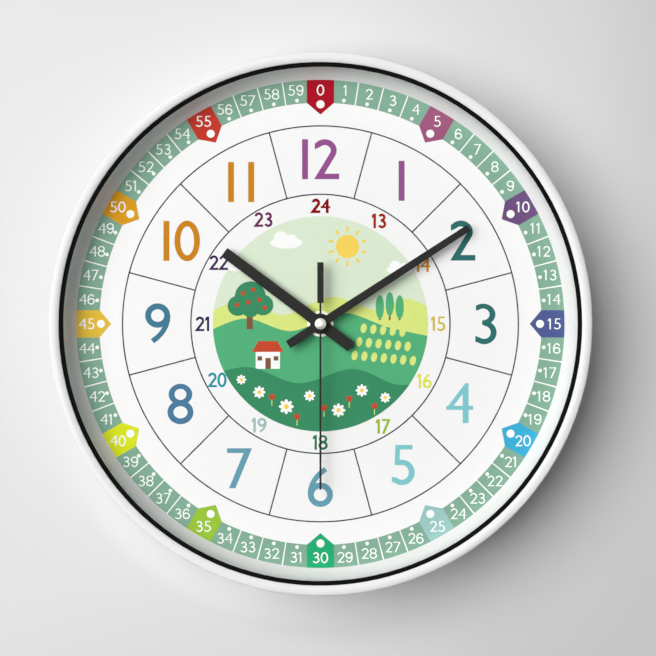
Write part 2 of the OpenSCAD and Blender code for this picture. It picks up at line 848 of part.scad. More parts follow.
module clutch_spring() {
    low = clutch_z + wheel_t;
    high = motion_z - over;
    color([0.8, 0.7, 0.35])
    hung()
    rotate_extrude()
    polygon([[4.2, low], [4.2, low + 0.25], [minute_pipe_r + 0.1, high], [minute_pipe_r + 0.1, high - 0.25]]);
}

// cannon pinion with the pipe that carries the minute hand
module minute_arbor() {
    color([0.8, 0.72, 0.42])
    hung()
    difference() {
        union() {
            gear(15, motion_mod, cannon_ph, motion_z - over, wheel_t + 2 * over);
            rod(minute_pipe_r, clutch_z - 0.1, minute_pipe_top);
        }
        rod(arbor_r + run_gap, clutch_z - 1, minute_pipe_top + 1);
    }
}

module blade(len, tip_w, tail_w) {
    polygon([[-tail_w / 2, -tail_len], [tail_w / 2, -tail_len], [tip_w / 2, len], [-tip_w / 2, len]]);
}

module minute_hand() {
    color([0.07, 0.07, 0.075])
    hung()
    rotate([0, 0, -minute_at])
    difference() {
        union() {
            translate([0, 0, minute_hand_z])
            linear_extrude(height = hand_t)
            union() {
                blade(minute_len, minute_tip_w, minute_tail_w);
                circle(r = minute_hub_d / 2);
            }
            rod(2.8, minute_hand_z - 0.5, minute_hand_z + 0.1);
        }
        rod(minute_pipe_r + press, minute_hand_z - 2, minute_hand_z + 2);
    }
}

// motion wheel and pinion on the arbor of the set knob
module motion_wheel() {
    color([0.9, 0.88, 0.82])
    hung()
    translate([motion_at[0], motion_at[1], 0])
    union() {
        gear(45, motion_mod, motion_ph, motion_z, wheel_t);
        gear(12, motion_mod, motion_pin_ph, hour_z - over, wheel_t + 2 * over);
        rod(1.2, motion_z, hour_z);
        rod(knob_arbor_r, knob_top - knob_t + 0.5, pivot_front);
    }
}

// notched knob turned by hand to set the time
module set_knob() {
    color([0.75, 0.75, 0.74])
    hung()
    translate([motion_at[0], motion_at[1], 0])
    difference() {
        rod(knob_d / 2, knob_top - knob_t, knob_top);
        around(16, knob_d / 2 + 0.25, 0) rod(0.7, knob_top - knob_t - 1, knob_top + 1);
        rod(knob_arbor_r + press, knob_top - knob_t + 0.48, knob_top + 1);
        tube(knob_d / 2 - 1.6, 1.8, knob_top - knob_t - 1, knob_top - knob_t + 0.5);
    }
}

module hour_wheel() {
    color([0.92, 0.9, 0.84])
    hung()
    difference() {
        union() {
            gear(48, motion_mod, hour_ph, hour_z, wheel_t);
            rod(hour_pipe_r, hour_z, hour_pipe_top);
        }
        rod(minute_pipe_r + run_gap, hour_z - 1, hour_pipe_top + 1);
    }
}

module hour_hand() {
    color([0.07, 0.07, 0.075])
    hung()
    rotate([0, 0, -hour_at])
    difference() {
        union() {
            translate([0, 0, hour_hand_z])
            linear_extrude(height = hand_t)
            union() {
                blade(hour_len, hour_tip_w, hour_tail_w);
                circle(r = hour_hub_d / 2);
            }
            rod(3.6, hour_hand_z - 0.4, hour_hand_z + 0.1);
        }
        rod(hour_pipe_r + press, hour_hand_z - 2, hour_hand_z + 2);
    }
}

bezel();
trim_ring();
lens();
spacer_ring();
dial_sheet();
back_plate();
back_screws();
hanger_box();
hanger_plate();
hanger_screws();
gasket();
shaft_washer();
shaft_nut();
movement_case();
movement_lid();
train_bridge();
circuit_board();
quartz_can();
chip_cap();
stator();
coil_core();
coil_bobbin();
coil_winding();
contact_positive();
contact_negative();
aa_cell();
rotor_magnet();
rotor_pinion();
intermediate_wheel();
second_wheel();
second_hand();
second_cap();
third_wheel();
clutch_wheel();
clutch_spring();
minute_arbor();
minute_hand();
motion_wheel();
set_knob();
hour_wheel();
hour_hand();
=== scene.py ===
import json
import math
import bpy
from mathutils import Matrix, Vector
from mathutils.geometry import delaunay_2d_cdt


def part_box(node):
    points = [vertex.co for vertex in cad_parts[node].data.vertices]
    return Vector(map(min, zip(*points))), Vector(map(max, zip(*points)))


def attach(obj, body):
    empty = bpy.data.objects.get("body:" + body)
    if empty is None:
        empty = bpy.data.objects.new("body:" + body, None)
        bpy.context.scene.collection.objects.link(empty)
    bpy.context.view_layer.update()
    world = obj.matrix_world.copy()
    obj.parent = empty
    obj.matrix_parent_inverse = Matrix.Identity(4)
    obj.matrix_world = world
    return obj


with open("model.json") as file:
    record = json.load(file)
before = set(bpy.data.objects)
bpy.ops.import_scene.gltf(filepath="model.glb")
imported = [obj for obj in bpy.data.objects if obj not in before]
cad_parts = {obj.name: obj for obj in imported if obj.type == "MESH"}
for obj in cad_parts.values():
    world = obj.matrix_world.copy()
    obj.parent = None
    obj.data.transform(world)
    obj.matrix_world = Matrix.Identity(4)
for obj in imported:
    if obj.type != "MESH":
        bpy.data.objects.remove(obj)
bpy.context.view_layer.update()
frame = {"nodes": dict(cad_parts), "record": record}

NODES = frame["nodes"]
JOINTS = frame["record"]["behaviour"]["joints"]
SCENE = bpy.context.scene
MM = 0.001
# Height of the axis of the hands, and front face of the dial card
AXIS_Z = next(j["pos_m"][2] for j in JOINTS if j["name"] == "minute_hand_turn")
DIAL_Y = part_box("dial_sheet")[0][1]


# Shader nodes

def add(tree, kind, **values):
    """New node with values on its sockets; a _ in a name stands for a space."""
    n = tree.nodes.new(kind)
    for key, value in values.items():
        n.inputs[key.replace("_", " ")].default_value = value
    return n


def spread(tree, value, start, end):
    """Node that maps a socket's value from one range to another."""
    n = add(tree, "ShaderNodeMapRange", From_Min=start[0], From_Max=start[1], To_Min=end[0], To_Max=end[1])
    tree.links.new(value, n.inputs["Value"])
    return n


def stops(tree, value, steps, kind="LINEAR"):
    """Colour of a ramp over a socket's value, from pairs of place and colour."""
    n = tree.nodes.new("ShaderNodeValToRGB")
    n.color_ramp.interpolation = kind
    for place, colour in steps:
        n.color_ramp.elements.new(place).color = (*colour, 1)
    n.color_ramp.elements.remove(n.color_ramp.elements[0])
    n.color_ramp.elements.remove(n.color_ramp.elements[-1])
    tree.links.new(value, n.inputs["Fac"])
    return n.outputs["Color"]


def vectors(tree, kind, a, b=(0, 0, 0)):
    """Vector node of a socket and a constant."""
    n = tree.nodes.new("ShaderNodeVectorMath")
    n.operation = kind
    tree.links.new(a, n.inputs[0])
    n.inputs[1].default_value = b
    return n


def maths(tree, kind, a, b):
    """Result of two sockets or numbers."""
    n = tree.nodes.new("ShaderNodeMath")
    n.operation = kind
    for i, value in enumerate((a, b)):
        if isinstance(value, float):
            n.inputs[i].default_value = value
        else:
            tree.links.new(value, n.inputs[i])
    return n.outputs["Value"]


# Surfaces

# Range that the values of a noise mostly keep to
NOISE = (0.3, 0.7)


def srgb(r, g, b):
    """Linear colour of an 8-bit sRGB colour."""
    out = []
    for v in (r, g, b):
        v = v / 255
        out.append(v / 12.92 if v <= 0.04045 else ((v + 0.055) / 1.055) ** 2.4)
    return tuple(out)


def surface(name, colour, rough, mottle=0.04, grain=900.0, patch=60.0, bump=0.1, depth=0.05, swing=0.06,
            stretch=(1, 1, 1), **sockets):
    """Principled surface in object space, with a depth of bump in mm.

    A soft noise of scale patch mottles the colour. A fine one of scale grain drives roughness and bump.
    """
    mat = bpy.data.materials.new(name)
    mat.use_nodes = True
    tree = mat.node_tree
    link = tree.links.new
    bsdf = tree.nodes["Principled BSDF"]
    for key, value in sockets.items():
        bsdf.inputs[key.replace("_", " ")].default_value = value
    coord = tree.nodes.new("ShaderNodeTexCoord")
    mapping = add(tree, "ShaderNodeMapping", Scale=stretch)
    link(coord.outputs["Object"], mapping.inputs["Vector"])
    soft = add(tree, "ShaderNodeTexNoise", Scale=patch, Detail=3.0)
    fine = add(tree, "ShaderNodeTexNoise", Scale=grain, Detail=4.0)
    link(mapping.outputs["Vector"], soft.inputs["Vector"])
    link(mapping.outputs["Vector"], fine.inputs["Vector"])
    ramp = tree.nodes.new("ShaderNodeValToRGB")
    for end, place, change in zip(ramp.color_ramp.elements, NOISE, (-mottle, mottle)):
        end.position = place
        end.color = (*[min(1.0, c * (1 + change)) for c in colour], 1)
    link(soft.outputs["Fac"], ramp.inputs["Fac"])
    link(ramp.outputs["Color"], bsdf.inputs["Base Color"])
    dull = spread(tree, fine.outputs["Fac"], NOISE, (rough - swing, rough + swing))
    link(dull.outputs["Result"], bsdf.inputs["Roughness"])
    relief = add(tree, "ShaderNodeBump", Strength=bump, Distance=depth * MM)
    link(fine.outputs["Fac"], relief.inputs["Height"])
    link(relief.outputs["Normal"], bsdf.inputs["Normal"])
    return mat


def ink(name, r, g, b):
    """Printing ink of an sRGB colour."""
    return surface(name, srgb(r, g, b), 0.55, mottle=0.014, grain=2600.0, patch=240.0, bump=0.08, depth=0.02,
                   Specular_IOR_Level=0.04)


def dress(mat, *names):
    """Give a material to CAD nodes."""
    for name in names:
        for place in NODES[name].material_slots:
            place.material = mat


# Case and dial card
dress(surface("case_white_plastic", (0.712, 0.712, 0.707), 0.45, mottle=0.012, grain=1500.0, patch=25.0,
              bump=0.12, depth=0.03, Specular_IOR_Level=0.1),
      "bezel")
dress(surface("trim_black_plastic", (0.0025, 0.0025, 0.0025), 0.5, mottle=0.2, grain=1800.0,
              Specular_IOR_Level=0.03),
      "trim_ring")
dress(surface("inner_white_plastic", (0.835, 0.835, 0.83), 0.5, mottle=0.012, grain=1500.0, patch=25.0,
              Specular_IOR_Level=0.05),
      "spacer_ring")
dress(surface("dial_card_white", (0.91, 0.91, 0.905), 0.6, mottle=0.006, grain=3200.0, patch=90.0, depth=0.02,
              Specular_IOR_Level=0.15),
      "dial_sheet")

# Clear pane: the more it is seen edge on, the more it mirrors; it lets all scattered light through
pane = surface("pane_clear", (0.8, 0.82, 0.82), 0.05, mottle=0.02, grain=40.0, patch=10.0, bump=0.01,
               depth=0.01, swing=0.01, Metallic=1.0)
edge_on = add(pane.node_tree, "ShaderNodeLayerWeight", Blend=0.33)
sheen = spread(pane.node_tree, edge_on.outputs["Fresnel"], (0.04, 1.0), (0.0, 0.6))
pane.node_tree.links.new(sheen.outputs["Result"], pane.node_tree.nodes["Principled BSDF"].inputs["Alpha"])
dress(pane, "lens")
NODES["lens"].visible_diffuse = False

# Hands
dress(surface("hand_black_paint", (0.011, 0.0108, 0.0102), 0.5, mottle=0.15, grain=2000.0, patch=200.0,
              bump=0.12, depth=0.03, Specular_IOR_Level=0.14),
      "second_hand", "minute_hand", "hour_hand")
dress(surface("cap_satin_aluminium", (0.88, 0.85, 0.78), 0.42, grain=2200.0, patch=700.0, Metallic=1.0),
      "second_cap")
dress(surface("washer_nickel", (0.72, 0.69, 0.6), 0.34, mottle=0.08, grain=1800.0, patch=600.0, bump=0.12,
              Metallic=1.0),
      "shaft_washer", "shaft_nut")

# Back
dress(surface("back_white_plastic", (0.78, 0.78, 0.76), 0.5, mottle=0.03, grain=1100.0, bump=0.35,
              depth=0.08),
      "back_plate", "hanger_box")
dress(surface("screw_zinc", (0.62, 0.62, 0.6), 0.32, mottle=0.15, grain=1400.0, patch=500.0, bump=0.15,
              Metallic=1.0),
      "back_screws", "hanger_screws", "quartz_can")
dress(surface("hanger_zinc", (0.56, 0.57, 0.58), 0.36, mottle=0.12, grain=1500.0, patch=400.0, bump=0.2,
              stretch=(1, 1, 0.12), Metallic=1.0),
      "hanger_plate")
dress(surface("gasket_black_rubber", (0.018, 0.018, 0.018), 0.75, mottle=0.2, grain=1600.0, bump=0.3),
      "gasket")

# Movement
dress(surface("movement_black_plastic", (0.016, 0.016, 0.018), 0.55, mottle=0.2, grain=1300.0, bump=0.4,
              depth=0.08),
      "movement_case", "movement_lid")
dress(surface("natural_acetal", (0.76, 0.73, 0.64), 0.42, mottle=0.05, grain=1500.0, patch=300.0),
      "train_bridge", "coil_bobbin", "rotor_pinion", "intermediate_wheel", "second_wheel", "third_wheel",
      "clutch_wheel", "motion_wheel", "hour_wheel")
dress(surface("arbor_brass", (0.66, 0.5, 0.2), 0.3, mottle=0.1, grain=1800.0, patch=600.0, Metallic=1.0),
      "clutch_spring", "minute_arbor")
dress(surface("rotor_bonded_magnet", (0.06, 0.06, 0.065), 0.5, mottle=0.2, grain=1600.0, bump=0.2),
      "rotor_magnet")
dress(surface("motor_iron_sheet", (0.4, 0.41, 0.42), 0.42, mottle=0.15, grain=1500.0, patch=500.0, bump=0.2,
              stretch=(1, 1, 0.2), Metallic=1.0),
      "stator", "coil_core")
dress(surface("winding_copper_wire", (0.62, 0.24, 0.08), 0.35, mottle=0.3, grain=2600.0, patch=2000.0,
              bump=0.8, depth=0.1, stretch=(0.1, 0.1, 3), Metallic=1.0),
      "coil_winding")
dress(surface("board_green_resist", (0.03, 0.15, 0.07), 0.4, mottle=0.25, grain=1200.0, patch=700.0),
      "circuit_board")
dress(surface("chip_black_resin", (0.012, 0.012, 0.012), 0.3, mottle=0.2, grain=1200.0, bump=0.15),
      "chip_cap")
dress(surface("contact_nickel_steel", (0.66, 0.64, 0.58), 0.3, mottle=0.1, grain=1500.0, patch=500.0,
              Metallic=1.0),
      "contact_positive", "contact_negative")
dress(surface("knob_grey_plastic", (0.45, 0.45, 0.44), 0.45, mottle=0.06, grain=1400.0, bump=0.25),
      "set_knob")


# Cell: a blue sleeve with a pale ring at each end; the nub and the base are bare steel

def bands(tree, node, steps):
    """Colours in steps along a node, each from a distance in mm from its left end."""
    low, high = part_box(node)
    split = tree.nodes.new("ShaderNodeSeparateXYZ")
    tree.links.new(tree.nodes["Texture Coordinate"].outputs["Object"], split.inputs["Vector"])
    along = spread(tree, split.outputs["X"], (low[0], high[0]), (0.0, 1.0))
    shares = [(start * MM / (high[0] - low[0]), colour) for start, colour in steps]
    return stops(tree, along.outputs["Result"], shares, "CONSTANT")


BLUE = (0.03, 0.1, 0.3)
PALE = (0.72, 0.72, 0.7)
BARE = (0.66, 0.65, 0.62)
METAL = (1, 1, 1)
PLASTIC = (0, 0, 0)
BASE_AT, SLEEVE_AT, NUB_AT = 0.01, 1.7, 49.3
RINGS = [(4.0, PALE), (6.0, BLUE), (46.5, PALE), (47.5, BLUE)]
sleeve = surface("cell_blue_sleeve", (0.9, 0.9, 0.9), 0.3, mottle=0.08, patch=80.0, bump=0.05)
tree = sleeve.node_tree
link = tree.links.new
bsdf = tree.nodes["Principled BSDF"]
tint = tree.nodes.new("ShaderNodeMix")
tint.data_type = "RGBA"
tint.blend_type = "MULTIPLY"
tint.inputs["Factor"].default_value = 1.0
link(tree.nodes["Color Ramp"].outputs["Color"], tint.inputs["A"])
colours = [(BASE_AT, BARE), (SLEEVE_AT, BLUE)] + RINGS + [(NUB_AT, BARE)]
link(bands(tree, "aa_cell", colours), tint.inputs["B"])
link(tint.outputs["Result"], bsdf.inputs["Base Color"])
metals = [(BASE_AT, METAL), (SLEEVE_AT, PLASTIC), (NUB_AT, METAL)]
link(bands(tree, "aa_cell", metals), bsdf.inputs["Metallic"])
dress(sleeve, "aa_cell")


# Flat shapes of the dial print, in mm about the clock axis: x towards 3, y towards 12

def circle(x, y, r, n=64):
    return ellipse(x, y, r, r, n=n)


def ellipse(x, y, rx, ry, turn=0.0, n=40):
    c, s = math.cos(math.radians(turn)), math.sin(math.radians(turn))
    out = []
    for i in range(n):
        t = 2 * math.pi * i / n
        a, b = rx * math.cos(t), ry * math.sin(t)
        out.append((x + a * c - b * s, y + a * s + b * c))
    return out


def polar(r, deg):
    """Point at a dial angle, clockwise from 12."""
    return r * math.sin(math.radians(deg)), r * math.cos(math.radians(deg))


def sector(r0, r1, a0, a1):
    """Piece of a ring between two dial angles, with a point for each degree."""
    n = max(2, int(abs(a1 - a0)))
    turns = [a0 + (a1 - a0) * i / n for i in range(n + 1)]
    return [polar(r1, a) for a in turns] + [polar(r0, a) for a in reversed(turns)]


def hoop(r, w, n=240):
    """Thin ring of width w, as short pieces."""
    return [sector(r - w / 2, r + w / 2, 360 * i / n, 360 * (i + 1) / n) for i in range(n)]


def stroke(p, q, w):
    """Straight bar of width w between two points."""
    dx, dy = q[0] - p[0], q[1] - p[1]
    k = w / 2 / math.hypot(dx, dy)
    nx, ny = -dy * k, dx * k
    return [(p[0] + nx, p[1] + ny), (p[0] - nx, p[1] - ny), (q[0] - nx, q[1] - ny), (q[0] + nx, q[1] + ny)]


def bow(cx, cy, rx, ry, a0, a1, w, thin=1.0):
    """Curved bar inside an ellipse, as short quads; angles run anticlockwise from the right.

    The bar is w wide at the sides of the ellipse and w * thin at its top and foot.
    """
    n = max(6, int(abs(a1 - a0) / 8))
    turns = [math.radians(a0 + (a1 - a0) * i / n) for i in range(n + 1)]
    outer = [(cx + rx * math.cos(t), cy + ry * math.sin(t)) for t in turns]
    inner = [(cx + (rx - w) * math.cos(t), cy + (ry - w * thin) * math.sin(t)) for t in turns]
    return [[p, q, v, u] for p, q, u, v in zip(outer, outer[1:], inner, inner[1:])]


def snip(outer, inner, x, hook):
    """Upright cut at x for the end of a curved bar that points left, drawn out by hook on its inner side."""
    return [outer, (x, outer[1]), (x, inner[1] + hook), inner]


def box(x0, y0, x1, y1):
    return [(x0, y0), (x1, y0), (x1, y1), (x0, y1)]


def curve(points, n=10):
    """Smooth open line through the points."""
    ends = [points[0]] + list(points) + [points[-1]]
    out = []
    for a, b, c, d in zip(ends, ends[1:], ends[2:], ends[3:]):
        for i in range(n):
            t = i / n
            out.append(tuple(
                0.5 * (2 * b[k] + (c[k] - a[k]) * t + (2 * a[k] - 5 * b[k] + 4 * c[k] - d[k]) * t * t
                       + (3 * b[k] - a[k] - 3 * c[k] + d[k]) * t ** 3) for k in (0, 1)))
    return out + [tuple(points[-1])]


def area(loop):
    return sum(p[0] * q[1] - q[0] * p[1] for p, q in zip(loop, loop[1:] + loop[:1])) / 2


def fill(loops, inside=None, holes=()):
    """Triangles of the union of the loops, kept inside one loop and outside the holes."""
    merge_mm = 1e-5
    count = len(loops)
    groups = loops + ([inside] if inside else []) + list(holes)
    first_hole = count + (1 if inside else 0)
    points, faces = [], []
    for loop in groups:
        if area(loop) < 0:
            loop = loop[::-1]
        faces.append(list(range(len(points), len(points) + len(loop))))
        points.extend(Vector(p) for p in loop)
    verts, _, tris, _, _, origins = delaunay_2d_cdt(points, [], faces, 0, merge_mm, True)
    kept = []
    for tri, owners in zip(tris, origins):
        if not any(o < count for o in owners):
            continue
        if inside and count not in owners:
            continue
        if any(o >= first_hole for o in owners):
            continue
        kept.append(tuple(tri))
    return [tuple(p) for p in verts], kept


class Print:
    """Ink on the dial card: flat fills with a thin edge, one object with a material for each colour."""

    layer_mm = 0.02

    def __init__(self, name):
        self.name = name
        self.verts, self.faces, self.slots, self.mats = [], [], [], []

    def lay(self, shape, level, mat, at=(0, 0), size=1.0):
        """Add a filled shape; level counts the layers of ink up to its face."""
        points, tris = shape
        if mat not in self.mats:
            self.mats.append(mat)
        slot = self.mats.index(mat)
        base = len(self.verts)
        used = sorted({i for t in tris for i in t})
        place = {v: k for k, v in enumerate(used)}
        for y in (DIAL_Y - level * self.layer_mm * MM, DIAL_Y):
            for v in used:
                px, pz = points[v]
                self.verts.append(((at[0] + px * size) * MM, y, AXIS_Z + (at[1] + pz * size) * MM))
        edges = {}
        for t in tris:
            self.faces.append([base + place[v] for v in t])
            self.slots.append(slot)
            for a, b in zip(t, t[1:] + t[:1]):
                edges[(a, b)] = True
        low = base + len(used)
        for a, b in edges:
            if (b, a) not in edges:
                self.faces.append([base + place[b], base + place[a], low + place[a], low + place[b]])
                self.slots.append(slot)

    def build(self):
        """Make the object, which rides on the case."""
        mesh = bpy.data.meshes.new(self.name)
        mesh.from_pydata(self.verts, [], self.faces)
        for mat in self.mats:
            mesh.materials.append(mat)
        mesh.polygons.foreach_set("material_index", self.slots)
        mesh.update()
        obj = bpy.data.objects.new(self.name, mesh)
        SCENE.collection.objects.link(obj)
        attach(obj, "case")


# Bars of the digits, height 1, centred on x 0, with strokes s wide.
# Hours have a bare 1 and upright cuts at the ends of 2 and 3; minutes have a curled 6 and 9.

def zero(s, style):
    return bow(0, 0.5, 0.32, 0.51, 0, 360, s)


def one(s, style):
    h = s / 2
    flag = [(h, 1), (-h, 1), (-0.2, 0.87), (-0.2, 0.87 - 1.1 * s), (h, 1 - 0.8 * s)]
    return [box(-h, 0, h, 1)] + ([] if style == "hour" else [flag])


def two(s, style):
    """The neck runs on straight from the end of the arch."""
    h = s / 2
    cx, cy, rx, ry, start, end = 0, 0.7, 0.3, 0.3, 172, -38
    if style == "hour":
        cx, cy, rx, ry, start, end = -0.055, 0.72, 0.3, 0.28, 140, -29
    arch = bow(cx, cy, rx, ry, start, end, s)
    turn = math.radians(end)
    lean = -(rx - h) / (ry - h) * math.tan(turn)
    wide = h * math.hypot(1, lean)
    foot = cx + (rx - h) * math.cos(turn) - lean * (cy + (ry - h) * math.sin(turn))
    base = 0.93 * s
    neck = [arch[-1][1], arch[-1][2], (foot - wide, 0), (foot + wide, 0)]
    sole = [(foot - wide, 0), (0.307, 0), (0.307, base), (foot - wide + lean * base, base)]
    cuts = [snip(arch[0][0], arch[0][3], -0.305, -0.06)] if style == "hour" else []
    return arch + [neck, sole] + cuts


def three(s, style):
    if style == "hour":
        top = bow(-0.075, 0.737, 0.308, 0.268, 125, -90, s, 0.82)
        low = bow(-0.05, 0.285, 0.313, 0.295, 90, -125, s, 0.9)
        cuts = [snip(top[0][0], top[0][3], -0.255, -0.03), snip(low[-1][1], low[-1][2], -0.27, 0.045)]
        return top + low + [box(-0.1, 0.47, -0.04, 0.582)] + cuts
    top = bow(-0.01, 0.74, 0.255, 0.265, 158, -88, s)
    low = bow(-0.01, 0.285, 0.3, 0.295, 88, -156, s)
    return top + low + [box(-0.1, 0.53 - s / 2, 0.0, 0.53 + s / 2)]


def four(s, style):
    """The slant rises 4 for 3 from the left end of the bar to the top of the upright."""
    left, right, low, bar = -0.338, 0.222, 0.334, 0.334 + 0.68 * s
    px, py = left + 0.58 * s, 0.365 - 0.44 * s
    meet = py + (right - s - px) * 4 / 3
    base = px + (bar - py) * 3 / 4
    slant = [(left, low), (left, 0.365), (0.138, 1), (right, 1), (right, meet), (right - s, meet),
             (base, bar), (base, low)]
    return [box(right - s, 0, right, 0.9), box(left, low, -left, bar), slant]


def five(s, style):
    belly = bow(-0.03, 0.313, 0.318, 0.318, 105, -130, s, 0.9)
    stem = [(-0.192, 1), (-0.08, 1), (-0.09, 0.6), belly[0][3], (-0.217, 0.5)]
    cut = snip(belly[-1][1], belly[-1][2], -0.286, 0.035)
    return belly + [stem, box(-0.18, 1 - 0.76 * s, 0.233, 1), cut]


def six(s, style):
    if style == "minute":
        return bow(0, 0.31, 0.32, 0.31, 0, 360, s) + bow(0, 0.5, 0.32, 0.5, 34, 200, s)
    neck = bow(0.753, 0.31, 1 + s / 2, 0.8 + s / 2, 180, 128, 0.88 * s)
    return bow(0, 0.305, 0.313, 0.305, 0, 360, s) + neck


def seven(s, style):
    wide = 1.08 * s
    slant = [(0.315, 1), (0.315 - wide, 1), (-0.1 - wide, 0), (-0.1, 0)]
    return [box(-0.31, 1 - 0.8 * s, 0.25, 1), slant]


def eight(s, style):
    return bow(0, 0.739, 0.296, 0.265, 0, 360, s, 0.85) + bow(0, 0.292, 0.325, 0.3, 0, 360, s)


def nine(s, style):
    return [[(-x, 1 - y) for x, y in bar] for bar in six(s, style)]


DIGITS = [zero, one, two, three, four, five, six, seven, eight, nine]
# Filled digits that were made before
filled = {}


def write(sheet, text, at, height, s, step, level, mat, style, wide=1.0):
    """Upright number with the middle of its outline on a point; step gives the distance of two digits."""
    placed, sides = [], []
    x = 0.0
    for i, ch in enumerate(text):
        key = (ch, s, style, wide)
        if key not in filled:
            bars = DIGITS[int(ch)](s, style)
            filled[key] = fill([[(px * wide, py - 0.5) for px, py in bar] for bar in bars])
        if i:
            x += step(text[i - 1], ch)
        placed.append((filled[key], x))
        sides += [x + p[0] for p in filled[key][0]]
    middle = (min(sides) + max(sides)) / 2
    for shape, x in placed:
        sheet.lay(shape, level, mat, (at[0] + (x - middle) * height, at[1]), height)


def minute_step(a, b):
    return 0.77 - 0.1 * (a == "1") - 0.12 * (b == "1")


def hour_step(a, b):
    return {"0": 0.52, "1": 0.505, "2": 0.548}[b]


def day_step(a, b):
    return 0.66 - 0.155 * (a == "1") - 0.1 * (b == "1")


# Minute band with its cells, markers, dots and numbers
BAND_IN, BAND_OUT = 122.9, 135.65
CELL_GAP, GAP_R = 0.72, 129
MINUTE_R, MINUTE_HIGH, MINUTE_STROKE = 130.45, 5.9, 0.115
FIVE_R, FIVE_HIGH, FIVE_STROKE = 129.95, 6.0, 0.12
MINUTE_WIDE = 1.08
DOT_AT, DOT_R = 124.75, 1.05
FIVE_DOT_AT, FIVE_DOT_R = 122.0, 2.25
MARKER_HALF, MARKER_TIP, MARKER_EAVES, MARKER_END = 7.6, 116.3, 122.8, 137
MARKER_INKS = [("crimson", 170, 15, 36), ("plum", 156, 87, 122), ("violet", 108, 78, 124),
               ("indigo", 78, 90, 144), ("sky", 59, 170, 208), ("mist", 152, 194, 190),
               ("emerald", 35, 169, 113), ("leaf", 150, 193, 56), ("lemon", 214, 225, 36),
               ("amber", 226, 187, 60), ("orange", 220, 157, 29), ("scarlet", 196, 58, 44)]
MARKER = [(-MARKER_HALF, MARKER_EAVES), (0, MARKER_TIP), (MARKER_HALF, MARKER_EAVES),
          (MARKER_HALF, MARKER_END), (-MARKER_HALF, MARKER_END)]

band_edge = circle(0, 0, BAND_OUT, 240)
half_gap = math.degrees(CELL_GAP / 2 / GAP_R)
cells = Print("print_minute_band")
markers = Print("print_five_minute_markers")
whites = Print("print_minute_numbers")
sage = ink("ink_sage", 129, 170, 148)
white = ink("ink_white", 247, 250, 246)
for k, (name, r, g, b) in enumerate(MARKER_INKS):
    mid = 30 * k
    for m in range(1, 5):
        a = mid + 6 * m
        low = a - 3 + (half_gap if m > 1 else 0)
        high = a + 3 - (half_gap if m < 4 else 0)
        cells.lay(fill([sector(BAND_IN, BAND_OUT, low, high)]), 1, sage)
        write(whites, str(5 * k + m), polar(MINUTE_R, a), MINUTE_HIGH, MINUTE_STROKE, minute_step, 2, white,
              "minute", MINUTE_WIDE)
        whites.lay(fill([circle(*polar(DOT_AT, a), DOT_R, 24)]), 2, white)
    c, s = math.cos(math.radians(mid)), math.sin(math.radians(mid))
    house = [(x * c + y * s, -x * s + y * c) for x, y in MARKER]
    markers.lay(fill([house], inside=band_edge), 2, ink("ink_marker_" + name, r, g, b))
    write(whites, str(5 * k), polar(FIVE_R, mid), FIVE_HIGH, FIVE_STROKE, minute_step, 3, white,
          "minute", MINUTE_WIDE)
    whites.lay(fill([circle(*polar(FIVE_DOT_AT, mid), FIVE_DOT_R, 32)]), 3, white)
cells.build()
markers.build()
whites.build()

# Hour ring: two circles, twelve spokes and the hour numbers
RING_OUT, RING_IN, RING_LINE = 110, 72, 0.72
SPOKE_GAP = 0.2
HOUR_HIGH, HOUR_STROKE = 22.2, 0.148
HOUR_PLACES = [(0.1, 91.5), (45.1, 79.5), (79.1, 46.3), (92, 0), (77.4, -44.1), (46, -78.4), (-0.1, -90.65),
               (-45, -80.25), (-77.8, -44.5), (-90.4, 0.3), (-77.1, 46.1), (-44.1, 78.8)]
lines = Print("print_hour_ring")
grey = ink("ink_line_grey", 52, 50, 54)
lines.lay(fill(hoop(RING_OUT, RING_LINE)), 1, grey)
lines.lay(fill(hoop(RING_IN, RING_LINE)), 1, grey)
for k in range(12):
    a = 30 * k + 15
    spoke = stroke(polar(RING_IN + SPOKE_GAP, a), polar(RING_OUT - SPOKE_GAP, a), RING_LINE)
    lines.lay(fill([spoke]), 1, grey)
lines.build()

hours = Print("print_hour_numbers")
purple = ink("ink_hour_purple", 148, 82, 143)
teal = ink("ink_hour_teal", 45, 110, 106)
aqua = ink("ink_hour_aqua", 128, 199, 204)
steel = ink("ink_hour_steel", 101, 157, 176)
navy = ink("ink_hour_navy", 75, 123, 157)
slate = ink("ink_hour_slate", 67, 122, 148)
ochre = ink("ink_hour_ochre", 203, 132, 26)
hour_inks = [purple, purple, teal, teal, aqua, aqua, steel, steel, navy, slate, ochre, ochre]
for k, (place, mat) in enumerate(zip(HOUR_PLACES, hour_inks)):
    write(hours, str(k or 12), place, HOUR_HIGH, HOUR_STROKE, hour_step, 1, mat, "hour")
hours.build()

# Hours 13 to 24 on an inner ring; some are a little off their place or bolder
DAY_R, DAY_HIGH, DAY_STROKE, DAY_WIDE = 65.7, 8.1, 0.162, 0.98
DAY_INKS = [("crimson", 138, 6, 18), ("red", 158, 30, 20), ("rust", 212, 140, 16),
            ("gold", 209, 189, 70), ("yellow", 220, 226, 83), ("olive", 152, 186, 44),
            ("pine", 32, 124, 84), ("pearl", 156, 189, 186), ("blue", 26, 146, 162),
            ("ink", 42, 40, 82), ("grape", 64, 34, 84), ("orchid", 108, 44, 92)]
DAY_NUDGE = {13: (-0.3, 0.3), 15: (-0.3, 0.0), 16: (0.85, 1.1), 17: (2.0, -0.1), 18: (-0.1, -0.2),
             19: (-1.2, 0.6), 20: (-0.7, 1.7), 21: (-0.2, 0.0), 22: (0.1, 1.15), 23: (0.85, 1.05),
             24: (-0.2, -0.1)}
DAY_BOLD = {13: 0.178, 23: 0.172, 24: 0.2}
day = Print("print_day_numbers")
